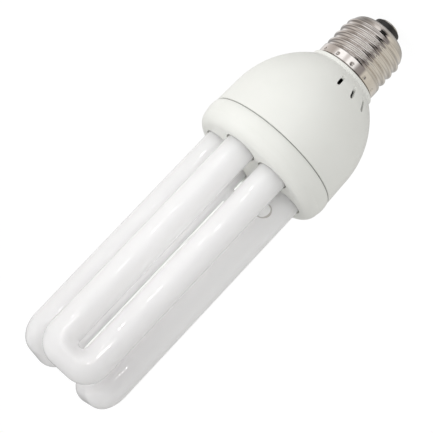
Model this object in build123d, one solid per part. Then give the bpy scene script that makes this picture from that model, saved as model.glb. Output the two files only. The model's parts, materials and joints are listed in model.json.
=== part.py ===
from build123d import *
import os
from math import asin, cos, degrees, radians, sin, sqrt, tan

# A compact fluorescent lamp with three U tubes, a two-part ballast housing and an E27 screw cap.
# Sizes are in millimetres. Z is the lamp's axis, with the cap down and the tubes up, and the origin
# is the middle of the centre contact's outer face. Angles run from +X towards +Y.

# Screw cap
CAP_LENGTH = 27.1            # open edge of the shell to the outer face of the centre contact
SHELL_WALL = 0.5
CREST_DIAMETER = 26.2
ROOT_DIAMETER = 24.2
THREAD_PITCH = 3.629
CREST_WIDTH = 0.84           # flat of the rolled thread's crest
CREST_CORNER = (0.4, 0.5)    # depth and width of the crest's broken corners
RIDGE_WIDTH = 2.8            # of the ridge at its base, sunk in the shell's wall
HALF_TURNS = 9               # the first two rise out of the shell
SKIRT_PROUD = 0.05           # the plain skirt stands this much outside the crests
SKIRT_LENGTH = 4.6
SKIRT_CONE = 0.9             # height of the cone between the skirt and the thread's root
THREAD_START = 3.05          # from the shell's lip to the middle of the ridge where it begins
SHOULDER_RADIUS = 4.8
LIP_WIDTH = 1.1              # flat ring at the shell's end, round the insulator
CONTACT_HEIGHT = 0.8
CONTACT_DIAMETER = 8.4
CONTACT_EDGE = 0.5
BOSS_LENGTH = 3.4            # the insulator's boss, from the shell's lip to the contact
BOSS_TAPER = 0.6
BOSS_EDGE = 0.7
INSULATOR_FLANGE = 2.4

# Ballast housing
NECK_DIAMETER = 28.2
NECK_COLLAR = 1.6
DOME_RADIUS = 36.5           # round of the dome's outline
SIDE_LENGTH = 9.65           # straight side, from the round to the parting line
SIDE_DRAFT = 2.0
HOUSING_WALL = 1.0
SPIGOT_LENGTH = 4.3
SPIGOT_WALL = 0.9
VENT_GROUPS = 2
VENTS_IN_GROUP = 3
VENT_PITCH = 18.5            # angle between the slots of a group
VENT_AZIMUTH = -117.0        # middle slot of the first group
VENT_WIDTH = 1.3
VENT_INNER_RADIUS = 17.3
VENT_LENGTH = 4.4
PARTING_GAP = 0.4
PARTING_LAND = 0.4           # width of the faces that meet inside the parting gap
COLLAR_LENGTH = 4.2          # the tube holder's collar inside the dome
COLLAR_WALL = 1.6
HOLDER_HEIGHT = 9.9          # parting line to the holder's face
HOLDER_BULGE = 0.4
HOLDER_EDGE = 4.5            # round between the holder's side and its face
FACE_RIM = 0.65              # flat between that round and the holes for the tubes
FACE_PLATE = 1.8

# Discharge tube
LAMP_LENGTH = 179.2
TUBE_DIAMETER = 12.0
LEG_SPACING = 15.2           # between the two legs of one U
U_OFFSET = 14.05             # from the lamp's axis to the plane of a U
U_COUNT = 3
BEND_RADIUS = 3.7            # centre line of the bend's two corners
WEB = 10.7                   # glass bend, from the crown to the crotch between the legs
BRIDGE_DIAMETER = 5.5
BRIDGE_HEIGHT = 9.5          # above the holder's face
TUBE_END_DEPTH = 9.2         # legs reach this far below the holder's face
HOLE_CLEARANCE = 0.6

# Ballast inside the housing
BOARD_THICKNESS = 1.6
BOARD_DROP = 2.25            # from the parting line down to the board's upper face
CEMENT_DEPTH = 3.2
RIB_WIDTH = 2.5
HOOK_HEIGHT = 0.6
HOOK_REACH = 0.8
CAPACITOR_DIAMETER = 10.0
CAPACITOR_LENGTH = 20.0
CORE_WIDTH = 16.0
CORE_HEIGHT = 14.0
CORE_DEPTH = 5.0
CORE_PLATE = 3.0
CORE_SIDE_LEG = 2.5
CORE_MIDDLE_LEG = 4.0
CORE_AIR_GAP = 0.2
BOBBIN_WALL = 0.6
BOBBIN_DEPTH = 11.0
RING_DIAMETER = 10.0
RING_BORE = 5.2
RING_HEIGHT = 4.5
RING_WIRE = 0.8
RING_WINDING_WIDTH = 2.4
TRANSISTOR_SIZE = (8.0, 3.0, 11.0)
TRANSISTOR_HOLE = 3.0
SPOOL_DIAMETER = 8.0
SPOOL_HEIGHT = 9.0
SPOOL_WAIST = 4.0
SPOOL_FLANGE = 1.2
TUBE_CAPACITOR_SIZE = (10.0, 4.5, 8.0)
COUPLING_CAPACITOR_SIZE = (7.0, 3.5, 7.0)
SNUBBER_CAPACITOR_SIZE = (4.0, 2.5, 5.0)
BOX_EDGE = 0.6
DIODE_SIZE = (2.6, 5.2)      # diameter and length
RESISTOR_SIZE = (1.8, 6.0)
DIAC_SIZE = (1.8, 4.0)
FUSE_SIZE = (3.0, 9.0)
PIN_SIZE = 0.9
PIN_HEIGHT = 1.4
FILAMENT_WIRE = 0.6
FILAMENT_SPREAD = 1.5
LEAD_DIAMETER = 0.7
SHELL_LEAD_DEPTH = 8.0       # how far the shell's lead reaches below the neck spigot

# Clearances
FIT = 0.1                    # pushed or slid together
LAID = 0.05                  # laid against, or poured round

# Places of the parts on the board, seen from the tubes, as shares of the board's radius
CAPACITOR_AT = (-0.456, -0.373)
CHOKE_AT = (0.373, 0.415)
RING_AT = (-0.311, 0.518)
TRANSISTORS_AT = ((0.29, -0.373), (0.29, -0.663))
SPOOL_AT = (0.705, -0.145)
TUBE_CAPACITOR_AT = (-0.166, -0.73)
COUPLING_CAPACITOR_AT = (0.663, -0.477)
SNUBBER_CAPACITOR_AT = (-0.684, 0.518)
DIODES_AT = ((-0.705, -0.04), (-0.705, 0.1), (-0.705, 0.24), (-0.705, 0.38))
RESISTORS_AT = ((-0.249, -0.062), (-0.249, 0.062), (-0.249, 0.187))
DIAC_AT = (-0.124, -0.274)
FUSE_AT = (0.207, -0.166)

# Levels and radii that follow from the sizes above
crest_r = CREST_DIAMETER / 2
root_r = ROOT_DIAMETER / 2
skirt_r = crest_r + SKIRT_PROUD
skirt_bore_r = skirt_r - SHELL_WALL
root_bore_r = root_r - SHELL_WALL
insulator_end_z = CONTACT_HEIGHT
lip_z = insulator_end_z + BOSS_LENGTH
shoulder_z = lip_z + SHOULDER_RADIUS
neck_z = CAP_LENGTH
skirt_z = neck_z - SKIRT_LENGTH
lip_r = root_r - SHOULDER_RADIUS - LIP_WIDTH
tube_r = TUBE_DIAMETER / 2
hole_r = tube_r + HOLE_CLEARANCE
leg_r = sqrt((LEG_SPACING / 2) ** 2 + U_OFFSET**2)
leg_half_angle = degrees(asin(LEG_SPACING / 2 / leg_r))
cement_r = leg_r + hole_r
rib_inner_r = cement_r + 2 * FIT
plate_r = cement_r + FACE_RIM
side_r = plate_r + HOLDER_EDGE
neck_r = NECK_DIAMETER / 2
dome_r = side_r - SIDE_LENGTH * tan(radians(SIDE_DRAFT))
dome_center_r = dome_r - DOME_RADIUS
dome_z = neck_z + NECK_COLLAR + sqrt(DOME_RADIUS**2 - (neck_r - dome_center_r) ** 2)
dome_end_z = dome_z + SIDE_LENGTH
holder_z = dome_end_z + PARTING_GAP
face_z = holder_z + HOLDER_HEIGHT
plate_z = face_z - FACE_PLATE
tube_end_z = face_z - TUBE_END_DEPTH
crown_z = LAMP_LENGTH - tube_r
spigot_r = skirt_bore_r - FIT
spigot_bore_r = spigot_r - SPIGOT_WALL
side_bore_r = side_r - HOUSING_WALL
collar_r = side_bore_r - FIT
collar_bore_r = collar_r - COLLAR_WALL
collar_z = dome_end_z - COLLAR_LENGTH
board_r = collar_bore_r - 2 * FIT
board_top_z = dome_end_z - BOARD_DROP
board_z = board_top_z - BOARD_THICKNESS

U_ANGLES = [-90 + 360 / U_COUNT * k for k in range(U_COUNT)]
LEG_ANGLES = [a + side * leg_half_angle for a in U_ANGLES for side in (-1, 1)]
# The glass path runs from one electrode leg through the three bends and two bridges to the other.
BRIDGED_LEGS = ((LEG_ANGLES[0], LEG_ANGLES[5]), (LEG_ANGLES[4], LEG_ANGLES[3]))
ELECTRODE_LEGS = (LEG_ANGLES[1], LEG_ANGLES[2])


def polar(radius, angle):
    return radius * cos(radians(angle)), radius * sin(radians(angle))


def outline(*edges):
    """Face in the XZ plane from the edges of a closed outline in (r, z)."""
    return make_face(Plane.XZ * Wire(edges))


def turned(*edges):
    """Solid of revolution about the lamp's axis."""
    return revolve(outline(*edges), Axis.Z)


def on_board(share):
    return share[0] * board_r, share[1] * board_r


def cylinder_up(radius, z0, z1, at=(0, 0)):
    return Pos(at[0], at[1], (z0 + z1) / 2) * Cylinder(radius, z1 - z0)


def box_between(x0, x1, y0, y1, z0, z1):
    middle = Pos((x0 + x1) / 2, (y0 + y1) / 2, (z0 + z1) / 2)
    return middle * Box(x1 - x0, y1 - y0, z1 - z0)


def box_under_board(size, share):
    x, y = on_board(share)
    wide, deep, tall = size
    return box_between(x - wide / 2, x + wide / 2, y - deep / 2, y + deep / 2, board_z - tall, board_z)


def rod_under_board(size, share):
    """A round part lying along X against the board's lower face."""
    diameter, length = size
    place = Pos(*on_board(share), board_z - diameter / 2 - LAID)
    return place * Rot(0, 90, 0) * Cylinder(diameter / 2, length)


def rounded_under_board(size, share):
    block = box_under_board(size, share)
    return fillet(block.edges().filter_by(Axis.Z), BOX_EDGE)


def screw_shell():
    """Rolled shell: plain skirt, round right-hand thread, shoulder and lip."""
    core = turned(
        Line((0, lip_z), (root_r - SHOULDER_RADIUS, lip_z)),
        RadiusArc((root_r - SHOULDER_RADIUS, lip_z), (root_r, shoulder_z), -SHOULDER_RADIUS),
        Line((root_r, shoulder_z), (root_r, skirt_z - SKIRT_CONE)),
        Line((root_r, skirt_z - SKIRT_CONE), (skirt_r, skirt_z)),
        Line((skirt_r, skirt_z), (skirt_r, neck_z)),
        Line((skirt_r, neck_z), (0, neck_z)),
        Line((0, neck_z), (0, lip_z)),
    )
    bore = turned(
        Line((0, lip_z), (lip_r, lip_z)),
        Line((lip_r, lip_z), (lip_r, lip_z + SHELL_WALL)),
        Line((lip_r, lip_z + SHELL_WALL), (root_r - SHOULDER_RADIUS, lip_z + SHELL_WALL)),
        Line((root_r - SHOULDER_RADIUS, lip_z + SHELL_WALL), (root_bore_r, shoulder_z)),
        Line((root_bore_r, shoulder_z), (root_bore_r, skirt_z - SKIRT_CONE)),
        Line((root_bore_r, skirt_z - SKIRT_CONE), (skirt_bore_r, skirt_z)),
        Line((skirt_bore_r, skirt_z), (skirt_bore_r, neck_z)),
        Line((skirt_bore_r, neck_z), (0, neck_z)),
        Line((0, neck_z), (0, lip_z)),
    )
    return core + thread_half_turns() - bore


def ridge_section(sunk):
    """Section of the thread's ridge, with its crest this far below full height."""
    top_r = crest_r - sunk
    base_r = root_r - SHELL_WALL / 2 - sunk
    corner_depth, corner_width = CREST_CORNER
    half = CREST_WIDTH / 2
    side = [(base_r, RIDGE_WIDTH / 2), (top_r - corner_depth, half + corner_width), (top_r, half)]
    other = [(r, -z) for r, z in reversed(side)]
    return outline(*Polyline(*side, *other, close=True).edges())


def thread_half_turns():
    """Helical ridge in half turns: the first two rise out of the shell and the last ends inside the skirt."""
    rise = THREAD_PITCH / 2
    path = Helix(THREAD_PITCH, rise, root_r)
    depth = crest_r - root_r
    rising = []
    for start, end in ((depth, depth / 2), (depth / 2, 0)):
        end_section = Pos(0, 0, rise) * Rot(0, 0, 180) * ridge_section(end)
        rising.append(sweep([ridge_section(start), end_section], path, multisection=True, is_frenet=True))
    full = sweep(ridge_section(0), path, is_frenet=True)
    turns = rising + [full] * (HALF_TURNS - len(rising))
    first_z = lip_z + THREAD_START
    return [Pos(0, 0, first_z + rise * k) * Rot(0, 0, 180 * (k + 1)) * turn for k, turn in enumerate(turns)]


def cap_insulator():
    """Black plug: flange inside the shell's lip, boss through it, hole for the lead."""
    boss_r = lip_r - FIT
    end_r = boss_r - BOSS_TAPER
    flange_r = root_r - SHOULDER_RADIUS - FIT
    flange_z = lip_z + SHELL_WALL + LAID
    lead_r = LEAD_DIAMETER / 2 + FIT
    return turned(
        Line((lead_r, insulator_end_z), (end_r - BOSS_EDGE, insulator_end_z)),
        Line((end_r - BOSS_EDGE, insulator_end_z), (end_r, insulator_end_z + BOSS_EDGE)),
        Line((end_r, insulator_end_z + BOSS_EDGE), (boss_r, lip_z)),
        Line((boss_r, lip_z), (boss_r, flange_z)),
        Line((boss_r, flange_z), (flange_r, flange_z)),
        Line((flange_r, flange_z), (flange_r, flange_z + INSULATOR_FLANGE)),
        Line((flange_r, flange_z + INSULATOR_FLANGE), (lead_r, flange_z + INSULATOR_FLANGE)),
        Line((lead_r, flange_z + INSULATOR_FLANGE), (lead_r, insulator_end_z)),
    )


def centre_contact():
    contact_r = CONTACT_DIAMETER / 2
    return turned(
        Line((0, 0), (contact_r - CONTACT_EDGE, 0)),
        Line((contact_r - CONTACT_EDGE, 0), (contact_r, CONTACT_EDGE)),
        Line((contact_r, CONTACT_EDGE), (contact_r, CONTACT_HEIGHT)),
        Line((contact_r, CONTACT_HEIGHT), (0, CONTACT_HEIGHT)),
        Line((0, CONTACT_HEIGHT), (0, 0)),
    )


def dome_bore_r(z):
    """Radius of the dome's inner wall at a height below the straight side."""
    return dome_center_r + sqrt((DOME_RADIUS - HOUSING_WALL) ** 2 - (dome_z - z) ** 2)


def upper_housing():
    """Dome with a straight side, a neck collar, a spigot inside the cap's skirt, and vent slots."""
    neck_top_z = neck_z + NECK_COLLAR
    floor_z = neck_top_z + HOUSING_WALL / 2
    steps = [floor_z + (dome_z - floor_z) * share for share in (0.1, 0.25, 0.5, 0.75)]
    inner = [(spigot_bore_r, floor_z)] + [(dome_bore_r(z), z) for z in steps]
    inner.append((dome_r - HOUSING_WALL, dome_z))
    inner.append((side_bore_r, dome_end_z - COLLAR_LENGTH - FIT))
    inner.append((side_bore_r, dome_end_z))
    shell = turned(
        Line((spigot_bore_r, neck_z - SPIGOT_LENGTH), (spigot_r, neck_z - SPIGOT_LENGTH)),
        Line((spigot_r, neck_z - SPIGOT_LENGTH), (spigot_r, neck_z)),
        Line((spigot_r, neck_z), (neck_r, neck_z)),
        Line((neck_r, neck_z), (neck_r, neck_top_z)),
        RadiusArc((neck_r, neck_top_z), (dome_r, dome_z), -DOME_RADIUS),
        Line((dome_r, dome_z), (side_r, dome_end_z)),
        Line((side_r, dome_end_z), (side_bore_r, dome_end_z)),
        *Polyline(*reversed(inner)).edges(),
        Line((spigot_bore_r, floor_z), (spigot_bore_r, neck_z - SPIGOT_LENGTH)),
    )
    return shell - vent_slots()


def vent_slots():
    """Slots that run out from the neck, cut along the lamp's axis."""
    middle_r = VENT_INNER_RADIUS + VENT_LENGTH / 2
    slot = SlotOverall(VENT_LENGTH, VENT_WIDTH)
    cutter = Pos(0, 0, neck_z) * extrude(Pos(middle_r, 0) * slot, dome_z - neck_z)
    middle = (VENTS_IN_GROUP - 1) / 2
    return [
        Rot(0, 0, VENT_AZIMUTH + 360 / VENT_GROUPS * group + VENT_PITCH * (k - middle)) * cutter
        for group in range(VENT_GROUPS)
        for k in range(VENTS_IN_GROUP)
    ]


def lower_housing():
    """Tube holder: round-edged cup with six holes, a collar in the dome, ribs and hooks for the board."""
    edge_z = face_z - HOLDER_EDGE
    land_r = side_bore_r + PARTING_LAND
    cup = turned(
        Line((collar_bore_r, collar_z), (collar_r, collar_z)),
        Line((collar_r, collar_z), (collar_r, dome_end_z)),
        Line((collar_r, dome_end_z), (land_r, dome_end_z)),
        Line((land_r, dome_end_z), (land_r, holder_z)),
        Line((land_r, holder_z), (side_r, holder_z)),
        ThreePointArc(
            (side_r, holder_z), (side_r + HOLDER_BULGE, (holder_z + edge_z) / 2), (side_r, edge_z)
        ),
        RadiusArc((side_r, edge_z), (plate_r, face_z), -HOLDER_EDGE),
        Line((plate_r, face_z), (0, face_z)),
        Line((0, face_z), (0, plate_z)),
        Line((0, plate_z), (plate_r, plate_z)),
        Line((plate_r, plate_z), (side_bore_r, edge_z)),
        Line((side_bore_r, edge_z), (side_bore_r, holder_z + HOUSING_WALL)),
        Line((side_bore_r, holder_z + HOUSING_WALL), (collar_bore_r, holder_z)),
        Line((collar_bore_r, holder_z), (collar_bore_r, collar_z)),
    )
    cup -= [cylinder_up(hole_r, tube_end_z, face_z + FACE_PLATE, polar(leg_r, a)) for a in LEG_ANGLES]
    half = RIB_WIDTH / 2
    wall_r = side_bore_r + PARTING_LAND / 2
    rib_top = (plate_r + HOLDER_EDGE / 2, plate_z + FACE_PLATE / 2)
    rib_side = [(collar_r, board_top_z), (collar_r, holder_z), (wall_r, holder_z), (wall_r, edge_z), rib_top]
    rib_back = [(rib_inner_r, rib_top[1]), (rib_inner_r, board_top_z)]
    rib = extrude(outline(*Polyline(*rib_side, *rib_back, close=True).edges()), half, both=True)
    hook_r = collar_bore_r - HOOK_REACH
    hook = box_between(hook_r, collar_bore_r + COLLAR_WALL / 2, -half, half, board_z - HOOK_HEIGHT, board_z)
    between = [a + 180 / U_COUNT for a in U_ANGLES]
    return cup + [Rot(0, 0, a) * (rib + hook) for a in between]


def u_tube():
    """One bent glass U, its plane square to Y: two legs, two tight corners and a flat crown."""
    half = LEG_SPACING / 2
    corner_x = half - BEND_RADIUS
    bend_z = crown_z - BEND_RADIUS
    leg = cylinder_up(tube_r, tube_end_z, bend_z, (half, 0))
    outside = Pos(LEG_SPACING, 0) * Rectangle(2 * LEG_SPACING, LEG_SPACING)
    section = Pos(BEND_RADIUS, 0) * Circle(tube_r) & outside
    corner = Pos(corner_x, 0, bend_z) * revolve(section, Axis.Y, -90)
    side = leg + corner
    crown = Pos(0, 0, crown_z) * Rot(0, 90, 0) * Cylinder(tube_r, 2 * corner_x)
    gap_r = half - tube_r
    crotch_z = LAMP_LENGTH - WEB - gap_r
    slot = Pos(0, 0, crotch_z) * Rot(90, 0, 0) * Cylinder(gap_r, 2 * TUBE_DIAMETER)
    slot += box_between(-gap_r, gap_r, -TUBE_DIAMETER, TUBE_DIAMETER, crotch_z - TUBE_DIAMETER, crotch_z)
    return Pos(0, -U_OFFSET, 0) * (side + mirror(side, Plane.YZ) + crown - slot)


def glass_bridge(leg_a, leg_b):
    """Short cross tube blown between two neighbouring legs."""
    z = face_z + BRIDGE_HEIGHT
    start = Vector(*polar(leg_r, leg_a), z)
    end = Vector(*polar(leg_r, leg_b), z)
    plane = Plane(origin=start, z_dir=end - start)
    return extrude(plane * Circle(BRIDGE_DIAMETER / 2), (end - start).length)


def discharge_tube():
    tubes = [Rot(0, 0, a + 90) * u_tube() for a in U_ANGLES]
    bridges = [glass_bridge(a, b) for a, b in BRIDGED_LEGS]
    return tubes[0] + tubes[1:] + bridges


def tube_cement():
    """Cement poured round the legs behind the holder's face plate."""
    disc = cylinder_up(cement_r, plate_z - CEMENT_DEPTH, plate_z)
    legs = [cylinder_up(tube_r + LAID, tube_end_z, face_z, polar(leg_r, a)) for a in LEG_ANGLES]
    return disc - legs


def smoothing_capacitor():
    can = cylinder_up(CAPACITOR_DIAMETER / 2, board_z - CAPACITOR_LENGTH, board_z, on_board(CAPACITOR_AT))
    return chamfer(can.edges().group_by(Axis.Z)[0], BOX_EDGE)


def choke_cores():
    """Two E cores, open towards each other, with a small air gap between them."""
    x, y = on_board(CHOKE_AT)
    window_x = (CORE_WIDTH - CORE_MIDDLE_LEG - 2 * CORE_SIDE_LEG) / 2
    window_middle = (CORE_MIDDLE_LEG + window_x) / 2
    bottom_z = board_z - CORE_HEIGHT
    middle_z = board_z - CORE_HEIGHT / 2
    block = box_under_board((CORE_WIDTH, CORE_DEPTH, CORE_HEIGHT), CHOKE_AT)
    for side in (-1, 1):
        left = x + side * window_middle - window_x / 2
        low_z = bottom_z + CORE_PLATE
        high_z = board_z - CORE_PLATE
        block -= box_between(left, left + window_x, y - CORE_DEPTH, y + CORE_DEPTH, low_z, high_z)
    gap = CORE_AIR_GAP / 2
    return block - block_round_choke(CORE_WIDTH, CORE_DEPTH, middle_z - gap, middle_z + gap)


def block_round_choke(half_x, half_y, z0, z1):
    x, y = on_board(CHOKE_AT)
    return box_between(x - half_x, x + half_x, y - half_y, y + half_y, z0, z1)


def choke_sizes():
    """Half sizes of the bobbin's bore, tube and flanges, and its lower and upper level."""
    bore_x = CORE_MIDDLE_LEG / 2 + FIT
    bore_y = CORE_DEPTH / 2 + FIT
    flange_x = CORE_WIDTH / 2 - CORE_SIDE_LEG - FIT
    low_z = board_z - CORE_HEIGHT + CORE_PLATE + LAID
    high_z = board_z - CORE_PLATE - LAID
    return bore_x, bore_y, flange_x, low_z, high_z


def choke_bobbin():
    bore_x, bore_y, flange_x, low_z, high_z = choke_sizes()
    tube = block_round_choke(bore_x + BOBBIN_WALL, bore_y + BOBBIN_WALL, low_z, high_z)
    tube += block_round_choke(flange_x, BOBBIN_DEPTH / 2, low_z, low_z + BOBBIN_WALL)
    tube += block_round_choke(flange_x, BOBBIN_DEPTH / 2, high_z - BOBBIN_WALL, high_z)
    return tube - block_round_choke(bore_x, bore_y, low_z, high_z)


def choke_winding():
    bore_x, bore_y, flange_x, low_z, high_z = choke_sizes()
    z0 = low_z + BOBBIN_WALL + LAID
    z1 = high_z - BOBBIN_WALL - LAID
    coil = block_round_choke(flange_x - FIT, BOBBIN_DEPTH / 2 - FIT, z0, z1)
    coil = fillet(coil.edges().filter_by(Axis.Z), BOX_EDGE)
    return coil - block_round_choke(bore_x + BOBBIN_WALL + LAID, bore_y + BOBBIN_WALL + LAID, z0, z1)


def ring_core():
    high_z = board_z - RING_WIRE - 2 * LAID
    ring = cylinder_up(RING_DIAMETER / 2, high_z - RING_HEIGHT, high_z, on_board(RING_AT))
    return ring - cylinder_up(RING_BORE / 2, high_z - RING_HEIGHT, high_z, on_board(RING_AT))


def ring_windings():
    """Three short windings round the ring core."""
    high_z = board_z - RING_WIRE - 2 * LAID
    outer_x = RING_DIAMETER / 2 + LAID
    half = RING_WINDING_WIDTH / 2
    inner_x = sqrt((RING_BORE / 2) ** 2 - half**2) - LAID
    low_z = high_z - RING_HEIGHT - LAID
    frame = box_between(
        inner_x - RING_WIRE, outer_x + RING_WIRE, -half, half, low_z - RING_WIRE, high_z + LAID + RING_WIRE
    )
    frame -= box_between(inner_x, outer_x, -half, half, low_z, high_z + LAID)
    place = Pos(*on_board(RING_AT), 0)
    return [place * Rot(0, 0, 120 * k) * frame for k in range(3)]


def switching_transistors():
    wide, deep, tall = TRANSISTOR_SIZE
    bodies = []
    for share in TRANSISTORS_AT:
        body = box_under_board(TRANSISTOR_SIZE, share)
        place = Pos(*on_board(share), board_z - tall + TRANSISTOR_HOLE)
        hole = place * Rot(90, 0, 0) * Cylinder(TRANSISTOR_HOLE / 2, 2 * deep)
        bodies.append(body - hole)
    return bodies


def filter_core():
    """Drum core: a waist between two flanges."""
    at = on_board(SPOOL_AT)
    low_z = board_z - SPOOL_HEIGHT
    core = cylinder_up(SPOOL_WAIST / 2, low_z, board_z, at)
    core += cylinder_up(SPOOL_DIAMETER / 2, board_z - SPOOL_FLANGE, board_z, at)
    return core + cylinder_up(SPOOL_DIAMETER / 2, low_z, low_z + SPOOL_FLANGE, at)


def filter_winding():
    at = on_board(SPOOL_AT)
    z0 = board_z - SPOOL_HEIGHT + SPOOL_FLANGE + LAID
    z1 = board_z - SPOOL_FLANGE - LAID
    coil = cylinder_up(SPOOL_DIAMETER / 2 - FIT, z0, z1, at)
    return coil - cylinder_up(SPOOL_WAIST / 2 + LAID, z0, z1, at)


def electrode_points(radius_step=FILAMENT_SPREAD):
    """Where the wires leave the two electrode legs, two wires a leg."""
    points = []
    for angle in ELECTRODE_LEGS:
        points += [polar(leg_r + side * radius_step, angle) for side in (-1, 1)]
    return points


def wrap_pins():
    half = PIN_SIZE / 2
    return [
        box_between(x - half, x + half, y - half, y + half, board_top_z, board_top_z + PIN_HEIGHT)
        for x, y in electrode_points()
    ]


def filament_leads():
    pin_z = board_top_z + PIN_HEIGHT
    return [cylinder_up(FILAMENT_WIRE / 2, pin_z, tube_end_z, at) for at in electrode_points()]


def contact_lead():
    return cylinder_up(LEAD_DIAMETER / 2, CONTACT_HEIGHT, board_z)


def shell_lead():
    x = root_bore_r - FIT - LEAD_DIAMETER / 2
    return cylinder_up(LEAD_DIAMETER / 2, neck_z - SPIGOT_LENGTH - SHELL_LEAD_DEPTH, board_z, (x, 0))


nodes = {
    "screw_shell": screw_shell(),
    "cap_insulator": cap_insulator(),
    "centre_contact": centre_contact(),
    "upper_housing": upper_housing(),
    "lower_housing": lower_housing(),
    "discharge_tube": discharge_tube(),
    "tube_cement": tube_cement(),
    "circuit_board": cylinder_up(board_r, board_z, board_top_z),
    "smoothing_capacitor": smoothing_capacitor(),
    "choke_cores": choke_cores(),
    "choke_bobbin": choke_bobbin(),
    "choke_winding": choke_winding(),
    "ring_core": ring_core(),
    "ring_windings": ring_windings(),
    "switching_transistors": switching_transistors(),
    "rectifier_diodes": [rod_under_board(DIODE_SIZE, at) for at in DIODES_AT],
    "filter_core": filter_core(),
    "filter_winding": filter_winding(),
    "tube_capacitor": rounded_under_board(TUBE_CAPACITOR_SIZE, TUBE_CAPACITOR_AT),
    "coupling_capacitor": rounded_under_board(COUPLING_CAPACITOR_SIZE, COUPLING_CAPACITOR_AT),
    "snubber_capacitor": rounded_under_board(SNUBBER_CAPACITOR_SIZE, SNUBBER_CAPACITOR_AT),
    "trigger_diac": rod_under_board(DIAC_SIZE, DIAC_AT),
    "base_resistors": [rod_under_board(RESISTOR_SIZE, at) for at in RESISTORS_AT],
    "fuse_resistor": rod_under_board(FUSE_SIZE, FUSE_AT),
    "wrap_pins": wrap_pins(),
    "filament_leads": filament_leads(),
    "contact_lead": contact_lead(),
    "shell_lead": shell_lead(),
}

os.makedirs("parts", exist_ok=True)
for name, shape in nodes.items():
    pieces = shape if isinstance(shape, list) else [shape]
    solids = [solid for piece in pieces for solid in piece.solids()]
    export_step(solids[0] if len(solids) == 1 else Compound(children=solids), f"parts/{name}.step")
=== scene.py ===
import json
from math import asin, atan2, cos, degrees, pi, radians, sin, sqrt, tan

import bmesh
import bpy
from mathutils import Matrix, Vector


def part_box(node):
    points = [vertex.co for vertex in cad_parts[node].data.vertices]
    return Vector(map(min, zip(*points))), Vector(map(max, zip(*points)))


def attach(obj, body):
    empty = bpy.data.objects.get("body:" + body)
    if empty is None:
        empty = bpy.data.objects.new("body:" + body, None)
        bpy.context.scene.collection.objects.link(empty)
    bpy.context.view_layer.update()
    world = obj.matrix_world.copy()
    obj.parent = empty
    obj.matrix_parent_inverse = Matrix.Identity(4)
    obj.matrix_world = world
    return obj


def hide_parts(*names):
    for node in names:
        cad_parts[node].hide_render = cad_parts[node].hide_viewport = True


# A compact fluorescent lamp with three U tubes, its cap down and its tubes up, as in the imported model.
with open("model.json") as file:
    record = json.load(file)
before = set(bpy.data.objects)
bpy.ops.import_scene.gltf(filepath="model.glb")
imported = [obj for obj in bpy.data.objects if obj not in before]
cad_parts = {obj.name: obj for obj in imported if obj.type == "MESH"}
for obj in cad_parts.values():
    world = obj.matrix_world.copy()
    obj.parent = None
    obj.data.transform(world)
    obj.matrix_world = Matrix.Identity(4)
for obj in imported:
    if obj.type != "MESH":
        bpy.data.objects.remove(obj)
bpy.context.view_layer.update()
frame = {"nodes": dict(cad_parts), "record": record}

MM = 0.001

# Screw cap: sizes in millimetres and angles in degrees, the same as in the part's source
SHELL_WALL = 0.5
CREST_DIAMETER = 26.2
ROOT_DIAMETER = 24.2
THREAD_PITCH = 3.629
THREAD_START = 3.05          # from the shell's lip to the thread's crest where it begins, on the -X side
SKIRT_LENGTH = 4.6
SKIRT_CONE = 0.9             # height of the cone between the skirt and the thread's root
SHOULDER_RADIUS = 4.8
LIP_WIDTH = 1.1              # flat ring at the shell's end, round the insulator
BOSS_TAPER = 0.6
CONTACT_EDGE = 0.5
LEAD_DIAMETER = 0.7

# Ballast housing, the same as in the part's source
NECK_DIAMETER = 28.2
NECK_COLLAR = 1.6
DOME_RADIUS = 36.5           # round of the dome's outline
SIDE_LENGTH = 9.65           # straight side, from the round to the parting line
SIDE_DRAFT = 2.0
HOUSING_WALL = 1.0
SPIGOT_WALL = 0.9
VENT_GROUPS = 2
VENTS_IN_GROUP = 3
VENT_PITCH = 18.5            # angle between the slots of a group
VENT_AZIMUTH = -117.0        # middle slot of the first group
VENT_WIDTH = 1.3
VENT_INNER_RADIUS = 17.3
VENT_LENGTH = 4.4
PARTING_GAP = 0.4
PARTING_LAND = 0.4           # width of the faces that meet inside the parting gap
COLLAR_WALL = 1.6
HOLDER_BULGE = 0.4
HOLDER_EDGE = 4.5            # round between the holder's side and its face
FACE_PLATE = 1.8
RIB_WIDTH = 2.5
HOOK_HEIGHT = 0.6
HOOK_REACH = 0.8

# Discharge tube, the same as in the part's source
TUBE_DIAMETER = 12.0
LEG_SPACING = 15.2           # between the two legs of one U
U_OFFSET = 14.05             # from the lamp's axis to the plane of a U
U_COUNT = 3
BEND_RADIUS = 3.7            # centre line of the bend's two corners
WEB = 10.7                   # glass bend, from the crown to the crotch between the legs
BRIDGE_DIAMETER = 5.5
BRIDGE_HEIGHT = 9.5          # above the holder's face
HOLE_CLEARANCE = 0.6

# Clearances, the same as in the part's source
FIT = 0.1                    # pushed or slid together
LAID = 0.05                  # laid against, or poured round

# Shapes that only the finished pieces show, in millimetres and degrees where no comment says otherwise
THREAD_RUN_IN = 1.05         # turns in which the thread grows out of the shoulder
THREAD_LEAD = 0.07           # share of that growth that lies before the thread's start
THREAD_RUN_OUT = 0.5         # height in which the thread is lost below the skirt
STAKE_COUNT = 12             # punched marks that lock the shell to the housing's spigot
STAKE_HEIGHT = 25.2
STAKE_AZIMUTH = -94.0
STAKE_RADIUS = 0.9
STAKE_DEPTH = 0.35
STAKE_MARGIN = 0.1           # the fine rows of points reach this much past a mark
BOSS_ROUND = 0.9             # edge of the insulator's end
EDGE_ROUND = 0.3             # broken edges of the mouldings
BRIDGE_AZIMUTH = -150.0      # middle of the front bridge
BRIDGE_FLARE = 0.14          # share by which a bridge is wider at its ends
FLARE_REACH = 2.6            # the flare is whole at 1 / 2.6 of the way from a bridge's middle to a leg's
FLARE_POWER = 4.0

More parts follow.
